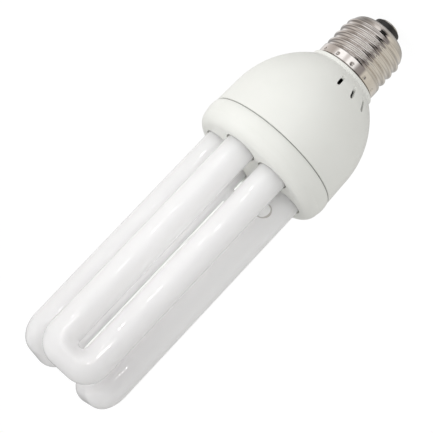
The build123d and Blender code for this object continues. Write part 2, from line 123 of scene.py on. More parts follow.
# Marks in the finishes, in millimetres; the dark lines, the crease and the tubes' darker and lighter ends are
# painted shade and painted light
SEAM_SHADE = (0.9, 0.6)       # painted shade line at the skirt's open edge: it fades in between these depths
PRESSED_END = (2.4, 3.2)     # duller end of the shell: it fades out between these heights above the lip
GROOVE_SHADE_SOFT = 0.03           # edges of the painted shade line in the parting groove
BEND_SHADE_FROM = 40.0          # height above the holder's face from which the tubes get a painted shade towards the bends
HOLDER_LIGHT_TO = 16.0         # height above the holder's face up to which the tubes get a painted light
CREASE_SHADE_ENDS = (-0.1, 1.1, 0.1)  # painted shade at a bridge, from the leg's wall inwards: start, end and softness
CREASE_SHADE_RING = (0.0, 0.4, 0.12)  # the same, from the bridge's wall outwards
WINDING_WIRE = 0.4

# Meshes: points that are one when closer than this, in metres, and the least angle of a sharp edge
MERGED = 1e-7
SHARP_ANGLE = 35
TURNED_SIZES = {"Points": 64, "Segments": 96}  # of a turned section, until a piece sets its own

# Most of a noise lies between these two values
NOISE_LOW = 0.3
NOISE_HIGH = 0.7

# Camera solved from the photograph: place and aim in millimetres, focal length for the sensor's width
CAMERA_DISTANCE = 648.6
CAMERA_HEIGHT = 240.75
CAMERA_AZIMUTH = -7.0
AIM_HEIGHT = 98.4
AIM_ASIDE = -1.54
CAMERA_ROLL = (-0.72761, -0.68601)
CAMERA_LENS = 152.1
CAMERA_SENSOR = 36.0
CAMERA_NEAR = 10.0

# Studio: places and sizes in metres, power in watts
FLOOR_SIZE = 12.0
FLOOR_TONE = 0.9
FLOOR_GLOW = 1.06            # white that the camera sees
FLOOR_SEEN = 0.9             # share of that white, beside the floor's own tone and its shadow
AMBIENT = 0.62
LAMP_AIM = (0, 0, 0.1)
KEY_PLACE = (0.9, -0.75, 0.55)
KEY_SIZE = 0.8
KEY_POWER = 5.25
HOUSING_KEY_PLACE = (0.9, -0.75, 0.45)
HOUSING_KEY_POWER = 1.3
FILL_PLACE = (-0.5, -1.2, 0.5)
FILL_WIDTH = 0.6
FILL_TALL = 0.9
FILL_POWER = 1.65
INNER_AZIMUTHS = (30, 150, 270)
INNER_OUT = 0.002            # distance from the lamp's axis
INNER_WIDTH = 0.006
INNER_TALL = 0.085
INNER_POWER = 0.0021

# Small lamps that glint along the tubes: places and sizes in millimetres, power in watts, and angles from the
# camera towards +X in degrees
GLINT_COUNT = 12
GLINT_ASIDE = 33.0
GLINT_SPREAD = 9.0
GLINT_SPREAD_STEP = 1.7      # radians from lamp to lamp of the sine that spreads the row
GLINT_DISTANCE = 250.0
GLINT_LOW = 12.0
GLINT_PITCH = 13.5
GLINT_SWAY = 4.0
GLINT_SWAY_STEP = 2.4        # radians from lamp to lamp of the sine that makes the heights uneven
GLINT_WIDTH = 17.0
GLINT_TALL = 4.0
GLINT_POWER = 0.005
BEND_GLINTS = ((9, 133), (14, 137), (19, 141))  # angle from the camera and height
BEND_GLINT_WIDTH = 11.0
BEND_GLINT_POWER = 0.0055

# Walls of the room that glossy pieces reflect, both ends first: angle from the camera towards +X, in degrees,
# and colour
ROOM_WALLS = (
    (-180, (0.42, 0.42, 0.42)),
    (180, (0.42, 0.42, 0.42)),
    (-135, (0.75, 0.73, 0.68)),
    (-100, (0.74, 0.71, 0.63)),
    (-45, (0.8, 0.76, 0.67)),
    (-36, (0.35, 0.32, 0.31)),
    (-16, (0.38, 0.35, 0.34)),
    (-8, (0.7, 0.68, 0.67)),
    (70, (0.8, 0.77, 0.75)),
    (88, (0.5, 0.46, 0.43)),
    (120, (0.6, 0.56, 0.53)),
    (140, (0.85, 0.83, 0.82)),
)

# Other things in that room, by the same angle (aside) and by the angle up (climb): start, end and softness
GAP_ASIDE = (-26, 36, 4)     # dark gap under the window
GAP_SLOPE = 1.2              # its upper edge falls by this much for each degree towards +X
GAP_EDGE = (-36, -28)        # sloped edge, fading out between these values
GAP_TOP = (-28, -23)         # level edge, fading out between these values
GAP_DARK = 0.97
BACK_ASIDE = (150, 200, 8)   # darker field behind the lamp
BACK_CLIMB = (-16, 4, 1)
BACK_DARK = 0.25
BAND_PITCH = 60              # soft level bands on the walls
BAND_SHIFT = 14
BAND_LEVEL = 0.85
BAND_FROM = (-10, 0.14)      # angle and strength at which the bands start to grow
BAND_TO = (30, 0.4)
WINDOW_PANES = ((-6, 26, 5), (40, 72, 6))
WINDOW_CLIMB = (-30, -16, 1.5)
WINDOW_GLOW = 0.2


def low(node):
    """A node's lowest level, in millimetres."""
    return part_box(node)[0][2] / MM


def high(node):
    """A node's highest level, in millimetres."""
    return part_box(node)[1][2] / MM


def radius(node):
    """A round node's radius, in millimetres."""
    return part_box(node)[1][0] / MM


# Levels and radii, read from the frame where it has them
lip_z = low("screw_shell")
neck_z = high("screw_shell")
skirt_r = radius("screw_shell")
skirt_z = neck_z - SKIRT_LENGTH
root_r = ROOT_DIAMETER / 2
thread_z = lip_z + THREAD_START
thread_depth = (CREST_DIAMETER - ROOT_DIAMETER) / 2
shoulder_z = lip_z + SHOULDER_RADIUS
flat_r = root_r - SHOULDER_RADIUS
lip_r = flat_r - LIP_WIDTH
lead_hole_r = LEAD_DIAMETER / 2 + FIT
side_r = radius("upper_housing")
dome_end_z = high("upper_housing")
dome_z = dome_end_z - SIDE_LENGTH
dome_r = side_r - SIDE_LENGTH * tan(radians(SIDE_DRAFT))
dome_center_r = dome_r - DOME_RADIUS
neck_r = NECK_DIAMETER / 2
spigot_z = low("upper_housing")
spigot_r = skirt_r - SHELL_WALL - FIT
spigot_bore_r = spigot_r - SPIGOT_WALL
side_bore_r = side_r - HOUSING_WALL
holder_z = dome_end_z + PARTING_GAP
face_z = high("lower_housing")
plate_z = face_z - FACE_PLATE
edge_z = face_z - HOLDER_EDGE
plate_r = side_r - HOLDER_EDGE
collar_r = side_bore_r - FIT
collar_bore_r = collar_r - COLLAR_WALL
collar_z = low("lower_housing")
board_z = low("circuit_board")
board_top_z = high("circuit_board")
cement_r = radius("tube_cement")
lamp_z = high("discharge_tube")
tube_end_z = low("discharge_tube")
tube_r = TUBE_DIAMETER / 2
leg_half = LEG_SPACING / 2
leg_r = sqrt(leg_half**2 + U_OFFSET**2)
leg_half_angle = degrees(asin(leg_half / leg_r))
hole_r = tube_r + HOLE_CLEARANCE
bridge_r = BRIDGE_DIAMETER / 2


def feed(tree, socket, value):
    """Links an output to the socket, or sets a plain value on it."""
    if isinstance(value, bpy.types.NodeSocket):
        tree.links.new(value, socket)
    else:
        socket.default_value = value


def add(tree, kind, inputs=None, **settings):
    """A new node, with its settings and inputs."""
    node = tree.nodes.new(kind)
    for key, value in settings.items():
        setattr(node, key, value)
    for key, value in (inputs or {}).items():
        feed(tree, node.inputs[key], value)
    return node


def calc(tree, operation, *values):
    """Result of a sum, product or other operation on values."""
    node = add(tree, "ShaderNodeMath", dict(enumerate(values)), operation=operation)
    return node.outputs[0]


def plus(tree, first, second):
    return calc(tree, "ADD", first, second)


def minus(tree, first, second):
    return calc(tree, "SUBTRACT", first, second)


def times(tree, first, second):
    return calc(tree, "MULTIPLY", first, second)


def over(tree, first, second):
    return calc(tree, "DIVIDE", first, second)


def distance(tree, first, second):
    """Square root of the sum of two squares."""
    squares = plus(tree, times(tree, first, first), times(tree, second, second))
    return calc(tree, "SQRT", squares)


def shape_tree(name, sizes):
    """Geometry node tree with named inputs: a whole number gives an integer socket."""
    tree = bpy.data.node_groups.new(name, "GeometryNodeTree")
    face = tree.interface
    face.new_socket("Geometry", in_out="INPUT", socket_type="NodeSocketGeometry")
    for label, value in sizes.items():
        kind = "NodeSocketInt" if isinstance(value, int) else "NodeSocketFloat"
        face.new_socket(label, in_out="INPUT", socket_type=kind).default_value = value
    face.new_socket("Material", in_out="INPUT", socket_type="NodeSocketMaterial")
    face.new_socket("Geometry", in_out="OUTPUT", socket_type="NodeSocketGeometry")
    return tree, add(tree, "NodeGroupInput").outputs


def close_tree(tree, geometry, material):
    """Realizes the shape, gives it its material and ends the tree."""
    real = add(tree, "GeometryNodeRealizeInstances", {"Geometry": geometry}).outputs[0]
    done = add(tree, "GeometryNodeSetMaterial", {"Geometry": real, "Material": material}).outputs[0]
    add(tree, "NodeGroupOutput", {"Geometry": done})
    return tree


def plain_piece(name, mesh, tree, material, sizes=None, sharp=SHARP_ANGLE):
    """Runs a shape tree on a mesh and keeps the result as a plain, closed mesh at the origin."""
    source = bpy.data.objects.new(name + "_source", mesh)
    bpy.context.collection.objects.link(source)
    modifier = source.modifiers.new("shape", "NODES")
    modifier.node_group = tree
    values = dict(sizes or {}, Material=material)
    for item in tree.interface.items_tree:
        if item.in_out == "INPUT" and item.name in values:
            modifier[item.identifier] = values[item.name]
    graph = bpy.context.evaluated_depsgraph_get()
    result = bpy.data.meshes.new_from_object(source.evaluated_get(graph))
    source.modifiers.clear()
    bpy.data.objects.remove(source)
    return finished(name, result, sharp)


def finished(name, mesh, sharp):
    """Closes the mesh, turns its faces outwards and shades it smooth up to the sharp angle."""
    work = bmesh.new()
    work.from_mesh(mesh)
    bmesh.ops.remove_doubles(work, verts=work.verts, dist=MERGED)
    bmesh.ops.dissolve_degenerate(work, edges=work.edges, dist=MERGED)
    bmesh.ops.recalc_face_normals(work, faces=work.faces)
    work.to_mesh(mesh)
    work.free()
    mesh.name = name
    mesh.shade_smooth()
    mesh.set_sharp_from_angle(angle=radians(sharp))
    piece = bpy.data.objects.new(name, mesh)
    bpy.context.collection.objects.link(piece)
    return piece


def arc(center, size, start, end, steps):
    """Points of an arc in (r, z), angles in degrees from the r axis."""
    turn = [radians(start + (end - start) * k / steps) for k in range(steps + 1)]
    return [(center[0] + size * cos(a), center[1] + size * sin(a)) for a in turn]


def span(start, end, step):
    """Points along a straight line, about this far apart, without its last point."""
    count = max(1, round(sqrt((end[0] - start[0]) ** 2 + (end[1] - start[1]) ** 2) / step))
    return [
        (start[0] + (end[0] - start[0]) * k / count, start[1] + (end[1] - start[1]) * k / count)
        for k in range(count)
    ]


def section_mesh(name, points):
    """Closed section of a turned piece as a line of points in the XZ plane, in metres."""
    mesh = bpy.data.meshes.new(name)
    corners = [(r * MM, 0, z * MM) for r, z in points + points[:1]]
    edges = [(k, k + 1) for k in range(len(points))]
    mesh.from_pydata(corners, edges, [])
    return mesh


def turned_group():
    """Turns the input section about the lamp's axis."""
    tree, size = shape_tree("turned_section", TURNED_SIZES)
    row = plus(tree, size["Segments"], 1)
    grid = add(tree, "GeometryNodeMeshGrid", {"Vertices X": size["Points"], "Vertices Y": row})
    index = add(tree, "GeometryNodeInputIndex").outputs[0]
    ring = calc(tree, "FLOOR", over(tree, plus(tree, index, 0.5), row))
    step = minus(tree, index, times(tree, ring, row))
    angle = times(tree, over(tree, step, size["Segments"]), 2 * pi)
    place = add(tree, "GeometryNodeInputPosition").outputs[0]
    point = add(
        tree,
        "GeometryNodeSampleIndex",
        {"Geometry": size["Geometry"], "Value": place, "Index": ring},
        data_type="FLOAT_VECTOR",
    )
    part = add(tree, "ShaderNodeSeparateXYZ", {0: point.outputs[0]}).outputs
    x = times(tree, part[0], calc(tree, "COSINE", angle))
    y = times(tree, part[0], calc(tree, "SINE", angle))
    spot = add(tree, "ShaderNodeCombineXYZ", {0: x, 1: y, 2: part[2]}).outputs[0]
    flat = grid.outputs[0]
    moved = add(tree, "GeometryNodeSetPosition", {"Geometry": flat, "Position": spot}).outputs[0]
    closed = add(tree, "GeometryNodeMergeByDistance", {"Geometry": moved, "Distance": MERGED}).outputs[0]
    return close_tree(tree, closed, size["Material"])


def turned_body(tree, size, turned):
    """The turned section inside another tree, with that tree's inputs of the same names."""
    group = add(tree, "GeometryNodeGroup", node_tree=turned)
    for label in ("Geometry", "Points", "Segments", "Material"):
        feed(tree, group.inputs[label], size[label])
    return group.outputs[0]


def fade(tree, value, start, end, first=0.0, last=1.0):
    """Smooth change from the first to the last value between two places."""
    node = add(tree, "ShaderNodeMapRange", interpolation_type="SMOOTHSTEP")
    for socket, given in zip(node.inputs, (value, start, end, first, last)):
        feed(tree, socket, given)
    return node.outputs[0]


def threaded_shell_tree(turned):
    """Turned shell with a rolled round thread, and punched marks round its skirt."""
    tree, size = shape_tree(
        "threaded_shell",
        {
            **TURNED_SIZES,
            "Root radius": root_r * MM,
            "Skirt radius": (skirt_r - SHELL_WALL / 2) * MM,
            "Thread pitch": THREAD_PITCH * MM,
            "Thread depth": thread_depth * MM,
            "Thread round": (THREAD_PITCH**2 / 4 + thread_depth**2) / (4 * thread_depth) * MM,
            "Thread start": thread_z * MM,
            "Thread run in": THREAD_RUN_IN * THREAD_PITCH * MM,
            "Thread run out": THREAD_RUN_OUT * MM,
            "Skirt start": skirt_z * MM,
            "Stakes": float(STAKE_COUNT),
            "Stake azimuth": radians(STAKE_AZIMUTH),
            "Stake height": STAKE_HEIGHT * MM,
            "Stake radius": STAKE_RADIUS * MM,
            "Stake depth": STAKE_DEPTH * MM,
        },
    )
    body = turned_body(tree, size, turned)
    place = add(tree, "GeometryNodeInputPosition").outputs[0]
    x, y, z = add(tree, "ShaderNodeSeparateXYZ", {0: place}).outputs
    out = distance(tree, x, y)
    angle = calc(tree, "ARCTAN2", y, x)

    # Distance along the axis from the nearest crest, and the height of two arcs that meet half way
    pitch, depth, bow = size["Thread pitch"], size["Thread depth"], size["Thread round"]
    climb = over(tree, minus(tree, z, size["Thread start"]), pitch)
    round_share = over(tree, minus(tree, angle, pi), 2 * pi)
    turn = minus(tree, climb, round_share)
    off = times(tree, calc(tree, "PINGPONG", turn, 0.5), pitch)
    bow_square = times(tree, bow, bow)
    crest_square = minus(tree, bow_square, times(tree, off, off))
    crest = plus(tree, minus(tree, depth, bow), calc(tree, "SQRT", crest_square))
    rest = minus(tree, times(tree, pitch, 0.5), off)
    root_square = minus(tree, bow_square, times(tree, rest, rest))
    root = minus(tree, bow, calc(tree, "SQRT", root_square))
    on_crest = calc(tree, "LESS_THAN", off, times(tree, pitch, 0.25))
    wave = calc(tree, "MULTIPLY_ADD", minus(tree, crest, root), on_crest, root)

    # The thread grows out of the shoulder and is lost in the skirt
    above = calc(tree, "MAXIMUM", minus(tree, out, size["Root radius"]), 0.0)
    lift = calc(tree, "MAXIMUM", minus(tree, wave, above), 0.0)
    lead = times(tree, size["Thread run in"], THREAD_LEAD)
    begin = minus(tree, size["Thread start"], lead)
    run_in = fade(tree, z, begin, plus(tree, begin, size["Thread run in"]))
    end = minus(tree, size["Skirt start"], size["Thread run out"])
    run_out = fade(tree, z, end, size["Skirt start"], 1.0, 0.0)
    lift = times(tree, lift, times(tree, run_in, run_out))

    # Punched marks, on the outer face only
    share = over(tree, minus(tree, angle, size["Stake azimuth"]), 2 * pi)
    near = calc(tree, "FRACT", calc(tree, "MULTIPLY_ADD", share, size["Stakes"], 0.5))
    sector = over(tree, times(tree, out, 2 * pi), size["Stakes"])
    aside = times(tree, minus(tree, near, 0.5), sector)
    along = minus(tree, z, size["Stake height"])
    far = distance(tree, aside, along)
    dent = fade(tree, far, 0.0, size["Stake radius"], size["Stake depth"], 0.0)
    outside = calc(tree, "GREATER_THAN", out, size["Skirt radius"])
    push = minus(tree, lift, times(tree, dent, outside))
    scale = over(tree, push, out)
    push_x = times(tree, x, scale)
    push_y = times(tree, y, scale)
    offset = add(tree, "ShaderNodeCombineXYZ", {0: push_x, 1: push_y}).outputs[0]
    shaped = add(tree, "GeometryNodeSetPosition", {"Geometry": body, "Offset": offset}).outputs[0]
    return close_tree(tree, shaped, size["Material"])


def shell_section():
    """Section of the shell, with its rows of points closest together along the thread and the marks."""
    thread_rows = 0.2
    cone_rows = 0.14
    mark_rows = 0.12
    cone_z = skirt_z - SKIRT_CONE
    mark_low = STAKE_HEIGHT - STAKE_RADIUS - STAKE_MARGIN
    mark_high = STAKE_HEIGHT + STAKE_RADIUS + STAKE_MARGIN
    bore_r = root_r - SHELL_WALL
    outer = span((lip_r, lip_z), (flat_r, lip_z), 0.25)
    outer += arc((flat_r, shoulder_z), SHOULDER_RADIUS, -90, 0, 32)
    outer += span((root_r, shoulder_z + thread_rows), (root_r, cone_z), thread_rows)
    outer += span((root_r, cone_z), (skirt_r, skirt_z), cone_rows)
    outer += span((skirt_r, skirt_z), (skirt_r, mark_low), 0.5)
    outer += span((skirt_r, mark_low), (skirt_r, mark_high), mark_rows)
    outer += span((skirt_r, mark_high), (skirt_r, neck_z), 0.4)
    inner = [(skirt_r, neck_z), (skirt_r - SHELL_WALL, neck_z), (skirt_r - SHELL_WALL, skirt_z)]
    inner += span((bore_r, cone_z), (bore_r, shoulder_z), 0.3)
    inner += [(bore_r, shoulder_z), (flat_r, lip_z + SHELL_WALL), (lip_r, lip_z + SHELL_WALL)]
    return outer + inner


def insulator_section():
    """Section of the plug: a boss through the shell's lip, and a flange behind it."""
    end_z = low("cap_insulator")
    top_z = high("cap_insulator")
    boss_r = lip_r - FIT
    flange_r = radius("cap_insulator")
    flange_z = lip_z + SHELL_WALL + LAID
    end_r = boss_r - BOSS_TAPER
    points = [(lead_hole_r, end_z)]
    points += arc((end_r - BOSS_ROUND, end_z + BOSS_ROUND), BOSS_ROUND, -90, 0, 10)
    points += [(boss_r, lip_z), (boss_r, flange_z), (flange_r, flange_z), (flange_r, top_z)]
    return points + [(lead_hole_r, top_z)]


def contact_section():
    """Section of the contact disc, with a round outer edge."""
    rows = 0.6
    top_z = high("centre_contact")
    contact_r = radius("centre_contact")
    flat_end = contact_r - CONTACT_EDGE
    points = [(0, 0)] + span((rows, 0), (flat_end, 0), rows)
    points += arc((flat_end, CONTACT_EDGE), CONTACT_EDGE, -90, 0, 8)
    return points + [(contact_r, top_z), (0, top_z)]


def dome_section():
    """Section of the dome: spigot, neck collar, round outside and wall."""
    neck_top_z = neck_z + NECK_COLLAR
    edge = EDGE_ROUND
    first = degrees(atan2(neck_top_z - dome_z, neck_r - dome_center_r))
    points = [(spigot_bore_r, spigot_z), (spigot_r, spigot_z), (spigot_r, neck_z)]
    points += arc((neck_r - edge, neck_z + edge), edge, -90, 0, 6)
    points += arc((dome_center_r, dome_z), DOME_RADIUS, first, 0, 72)
    points += arc((side_r - edge, dome_end_z - edge), edge, 0, 90, 6)
    points += [(side_bore_r, dome_end_z), (side_bore_r, collar_z - FIT), (dome_r - HOUSING_WALL, dome_z)]
    floor_z = neck_top_z + HOUSING_WALL / 2
    bore = DOME_RADIUS - HOUSING_WALL
    last = degrees(atan2(floor_z - dome_z, sqrt(bore**2 - (dome_z - floor_z) ** 2)))
    points += arc((dome_center_r, dome_z), bore, 0, last, 24)[1:-1]
    return points + [(spigot_bore_r, floor_z)]


def holder_section():
    """Section of the tube holder: collar, parting groove, slightly bulged side, round edge and face."""
    edge = EDGE_ROUND
    corner_end = -20
    land_r = side_bore_r + PARTING_LAND
    bulge_half = (edge_z - holder_z) / 2
    bulge_r = (bulge_half**2 + HOLDER_BULGE**2) / (2 * HOLDER_BULGE)
    bulge_center = (side_r + HOLDER_BULGE - bulge_r, (holder_z + edge_z) / 2)
    bulge_angle = degrees(asin(bulge_half / bulge_r))
    bulge_start = -0.8 * bulge_angle
    points = [(collar_bore_r, collar_z), (collar_r, collar_z), (collar_r, dome_end_z), (land_r, dome_end_z)]
    points += [(land_r, holder_z)]
    points += arc((side_r - edge, holder_z + edge), edge, -90, corner_end, 5)
    points += arc(bulge_center, bulge_r, bulge_start, bulge_angle, 14)
    points += arc((plate_r, edge_z), HOLDER_EDGE, 0, 90, 28)[1:]
    points += [(0, face_z), (0, plate_z), (plate_r, plate_z), (side_bore_r, edge_z)]
    points += [(side_bore_r, holder_z + HOUSING_WALL), (collar_bore_r, holder_z)]
    return points


def turned_instances(tree, cutter, count, angle):
    """Copies of a shape turned about the lamp's axis by an angle for each index."""
    points = add(tree, "GeometryNodePoints", {"Count": count}).outputs[0]
    spin = add(tree, "ShaderNodeCombineXYZ", {2: angle}).outputs[0]
    copies = add(
        tree, "GeometryNodeInstanceOnPoints", {"Points": points, "Instance": cutter, "Rotation": spin}
    ).outputs[0]
    return add(tree, "GeometryNodeRealizeInstances", {"Geometry": copies}).outputs[0]


def moved_by(tree, shape, x=0.0, y=0.0, z=0.0):
    """A shape moved from its place."""
    spot = add(tree, "ShaderNodeCombineXYZ", {0: x, 1: y, 2: z}).outputs[0]
    return add(tree, "GeometryNodeTransform", {"Geometry": shape, "Translation": spot}).outputs[0]


def combined(tree, operation, body, other):
    """A body joined with another shape, or cut by it."""
    node = add(tree, "GeometryNodeMeshBoolean", operation=operation, solver="EXACT")
    first, second = (0, 1) if operation == "DIFFERENCE" else (1, 1)
    tree.links.new(body, node.inputs[first])
    tree.links.new(other, node.inputs[second])
    return node.outputs[0]


def vented_dome_tree(turned):
    """Turned dome with groups of round-ended vent slots cut along the lamp's axis."""
    tree, size = shape_tree(
        "vented_dome",
        {
            **TURNED_SIZES,
            "Vents in group": VENTS_IN_GROUP,
            "Vent groups": VENT_GROUPS,
            "Vent width": VENT_WIDTH * MM,
            "Vent length": VENT_LENGTH * MM,
            "Vent middle": (VENT_INNER_RADIUS + VENT_LENGTH / 2) * MM,
            "Vent pitch": radians(VENT_PITCH),
            "Vent azimuth": radians(VENT_AZIMUTH),
            "Cut height": (neck_z + dome_z) / 2 * MM,
            "Cut depth": (dome_z - neck_z) * MM,
        },
    )
    body = turned_body(tree, size, turned)
    end_r = times(tree, size["Vent width"], 0.5)
    end = add(
        tree, "GeometryNodeMeshCylinder", {"Vertices": 32, "Radius": end_r, "Depth": size["Cut depth"]}
    ).outputs[0]
    reach = times(tree, minus(tree, size["Vent length"], size["Vent width"]), 0.5)
    ends = add(tree, "GeometryNodeJoinGeometry")
    for way in (-1.0, 1.0):
        place = calc(tree, "MULTIPLY_ADD", reach, way, size["Vent middle"])
        tree.links.new(moved_by(tree, end, x=place, z=size["Cut height"]), ends.inputs[0])
    slot = add(tree, "GeometryNodeConvexHull", {"Geometry": ends.outputs[0]}).outputs[0]
    per_group = size["Vents in group"]
    count = times(tree, per_group, size["Vent groups"])
    index = add(tree, "GeometryNodeInputIndex").outputs[0]
    group = calc(tree, "FLOOR", over(tree, plus(tree, index, 0.5), per_group))
    in_group = minus(tree, index, times(tree, group, per_group))
    middle = times(tree, minus(tree, per_group, 1), 0.5)
    aside = minus(tree, in_group, middle)
    angle = calc(tree, "MULTIPLY_ADD", aside, size["Vent pitch"], size["Vent azimuth"])
    group_turn = over(tree, 2 * pi, size["Vent groups"])
    angle = calc(tree, "MULTIPLY_ADD", group, group_turn, angle)
    cut = combined(tree, "DIFFERENCE", body, turned_instances(tree, slot, count, angle))
    return close_tree(tree, cut, size["Material"])


def tube_holder_tree(turned):
    """Turned holder with a hole for each leg of the tubes, and ribs and hooks that hold the board."""
    tree, size = shape_tree(
        "tube_holder",
        {
            **TURNED_SIZES,
            "U count": U_COUNT,
            "Leg radius": leg_r * MM,
            "Leg half angle": radians(leg_half_angle),
            "Hole radius": hole_r * MM,
            "Hole low": tube_end_z * MM,
            "Hole high": (face_z + FACE_PLATE) * MM,
            "Rib inner radius": (cement_r + 2 * FIT) * MM,
            "Collar radius": collar_r * MM,
            "Collar middle": (collar_bore_r + COLLAR_WALL / 2) * MM,
            "Hook radius": (collar_bore_r - HOOK_REACH) * MM,
            "Rib width": RIB_WIDTH * MM,
            "Rib low": board_top_z * MM,
            "Rib shoulder": edge_z * MM,
            "Rib top radius": (plate_r + HOLDER_EDGE / 2) * MM,
            "Rib high": (plate_z + FACE_PLATE / 2) * MM,
            "Hook low": (board_z - HOOK_HEIGHT) * MM,
            "Hook high": board_z * MM,
        },
    )
    body = turned_body(tree, size, turned)
    index = add(tree, "GeometryNodeInputIndex").outputs[0]
    third = over(tree, 2 * pi, size["U count"])
    sixth = times(tree, third, 0.5)

    def block(inner, outer, bottom, top):
        wide = minus(tree, size[outer], size[inner])
        tall = minus(tree, size[top], size[bottom])
        sides = add(tree, "ShaderNodeCombineXYZ", {0: wide, 1: size["Rib width"], 2: tall}).outputs[0]
        cube = add(tree, "GeometryNodeMeshCube", {"Size": sides}).outputs[0]
        x = times(tree, plus(tree, size[outer], size[inner]), 0.5)
        z = times(tree, plus(tree, size[top], size[bottom]), 0.5)
        return moved_by(tree, cube, x=x, z=z)

    between = calc(tree, "MULTIPLY_ADD", index, third, minus(tree, sixth, pi / 2))
    for kind in (
        ("Rib inner radius", "Collar radius", "Rib low", "Rib shoulder"),
        ("Rib inner radius", "Rib top radius", "Rib low", "Rib high"),
        ("Hook radius", "Collar middle", "Hook low", "Hook high"),
    ):
        body = combined(tree, "UNION", body, turned_instances(tree, block(*kind), size["U count"], between))
    which = calc(tree, "FLOOR", times(tree, plus(tree, index, 0.5), 0.5))
    side = minus(tree, index, times(tree, which, 2.0))
    way = calc(tree, "MULTIPLY_ADD", side, 2.0, -1.0)
    base = calc(tree, "MULTIPLY_ADD", which, third, -pi / 2)
    angle = calc(tree, "MULTIPLY_ADD", way, size["Leg half angle"], base)
    deep = minus(tree, size["Hole high"], size["Hole low"])
    drill = add(
        tree, "GeometryNodeMeshCylinder", {"Vertices": 96, "Radius": size["Hole radius"], "Depth": deep}
    ).outputs[0]
    middle = times(tree, plus(tree, size["Hole high"], size["Hole low"]), 0.5)
    drill = moved_by(tree, drill, x=size["Leg radius"], z=middle)
    count = times(tree, size["U count"], 2)
    cut = combined(tree, "DIFFERENCE", body, turned_instances(tree, drill, count, angle))
    return close_tree(tree, cut, size["Material"])


def bend_reach(angle):
    """Distance from the crotch's middle to the bend's outside, at an angle from one leg to the other."""
    crotch_z = lamp_z - WEB - (leg_half - tube_r)
    side = leg_half + tube_r
    height = lamp_z - crotch_z
    corner = (leg_half - BEND_RADIUS, lamp_z - tube_r - BEND_RADIUS - crotch_z)
    size = BEND_RADIUS + tube_r
    c, s = abs(cos(angle)), sin(angle)
    if side * s <= corner[1] * c:
        return side / c
    if height * c <= corner[0] * s:
        return height / s
    along = corner[0] * c + corner[1] * s
    return along + sqrt(along**2 - corner[0] ** 2 - corner[1] ** 2 + size**2)


def u_tube_mesh(around=64, bend_steps=60):
    """One bent U in its place towards -Y: straight legs, and a bend that fans round the crotch."""
    gap = leg_half - tube_r
    crotch_z = lamp_z - WEB - gap
    sections = [((leg_half, tube_end_z), (1, 0), tube_r)]
    for k in range(bend_steps + 1):
        angle = pi * k / bend_steps
        reach = bend_reach(angle)
        way = (cos(angle), sin(angle))
        middle = (gap + reach) / 2
        sections.append(((way[0] * middle, crotch_z + way[1] * middle), way, (reach - gap) / 2))
    sections.append(((-leg_half, tube_end_z), (-1, 0), tube_r))
    work = bmesh.new()
    rings = []
    for (x, z), way, half in sections:
        ring = []
        for k in range(around):
            turn = 2 * pi * k / around
            out = half * cos(turn)
            spot = (x + way[0] * out, tube_r * sin(turn) - U_OFFSET, z + way[1] * out)
            ring.append(work.verts.new(Vector(spot) * MM))
        rings.append(ring)
    for first, second in zip(rings, rings[1:]):
        for k in range(around):
            work.faces.new((first[k - 1], first[k], second[k], second[k - 1]))
    work.faces.new(rings[0])
    work.faces.new(reversed(rings[-1]))
    mesh = bpy.data.meshes.new("u_tube")
    bmesh.ops.recalc_face_normals(work, faces=work.faces)
    work.to_mesh(mesh)
    work.free()
    return mesh


def tube_cluster_tree():
    """Turns the U into three and joins their legs with two short flared bridges."""
    tree, size = shape_tree(
        "tube_cluster",
        {
            "U count": U_COUNT,
            "Leg radius": leg_r * MM,
            "Leg half angle": radians(leg_half_angle),
            "Bridge radius": bridge_r * MM,
            "Bridge height": (face_z + BRIDGE_HEIGHT) * MM,
            "Bridge flare": BRIDGE_FLARE,
        },
    )
    index = add(tree, "GeometryNodeInputIndex").outputs[0]
    third = over(tree, 2 * pi, size["U count"])
    tubes = turned_instances(tree, size["Geometry"], size["U count"], times(tree, index, third))
    half_angle = minus(tree, times(tree, third, 0.5), size["Leg half angle"])
    x = times(tree, size["Leg radius"], calc(tree, "COSINE", half_angle))
    y = times(tree, size["Leg radius"], calc(tree, "SINE", half_angle))
    ends = [
        add(tree, "ShaderNodeCombineXYZ", {0: x, 1: way, 2: size["Bridge height"]}).outputs[0]
        for way in (times(tree, y, -1.0), y)
    ]
    line = add(tree, "GeometryNodeCurvePrimitiveLine", {"Start": ends[0], "End": ends[1]}).outputs[0]
    line = add(tree, "GeometryNodeResampleCurve", {"Curve": line, "Count": 41}).outputs[0]
    share = add(tree, "GeometryNodeSplineParameter").outputs["Factor"]
    apart = calc(tree, "ABSOLUTE", calc(tree, "MULTIPLY_ADD", share, 2.0, -1.0))
    flare = calc(tree, "MINIMUM", times(tree, apart, FLARE_REACH), 1.0)
    flare = calc(tree, "POWER", flare, FLARE_POWER)
    flare = calc(tree, "MULTIPLY_ADD", flare, size["Bridge flare"], 1.0)
    round_section = add(
        tree, "GeometryNodeCurvePrimitiveCircle", {"Resolution": 48, "Radius": size["Bridge radius"]}
    ).outputs[0]
    bridge = add(
        tree,
        "GeometryNodeCurveToMesh",
        {"Curve": line, "Profile Curve": round_section, "Scale": flare, "Fill Caps": True},
    ).outputs[0]
    back = times(tree, third, -1.0)
    angle = calc(tree, "MULTIPLY_ADD", index, back, radians(BRIDGE_AZIMUTH))
    bridges = turned_instances(tree, bridge, minus(tree, size["U count"], 1), angle)
    glass = combined(tree, "UNION", tubes, bridges)
    return close_tree(tree, glass, size["Material"])


def new_finish(name):
    """A new material, with its tree and its shader."""
    material = bpy.data.materials.new(name)
    material.use_nodes = True
    return material, material.node_tree, material.node_tree.nodes["Principled BSDF"]


def object_place(tree, stretch=(1, 1, 1)):
    """Place on the piece, in metres, with each axis stretched."""
    place = add(tree, "ShaderNodeTexCoord").outputs["Object"]
    return add(tree, "ShaderNodeMapping", {"Vector": place, "Scale": stretch}).outputs[0]


def level(tree):
    """Height along the lamp's axis, in metres."""
    return add(tree, "ShaderNodeSeparateXYZ", {0: object_place(tree)}).outputs[2]


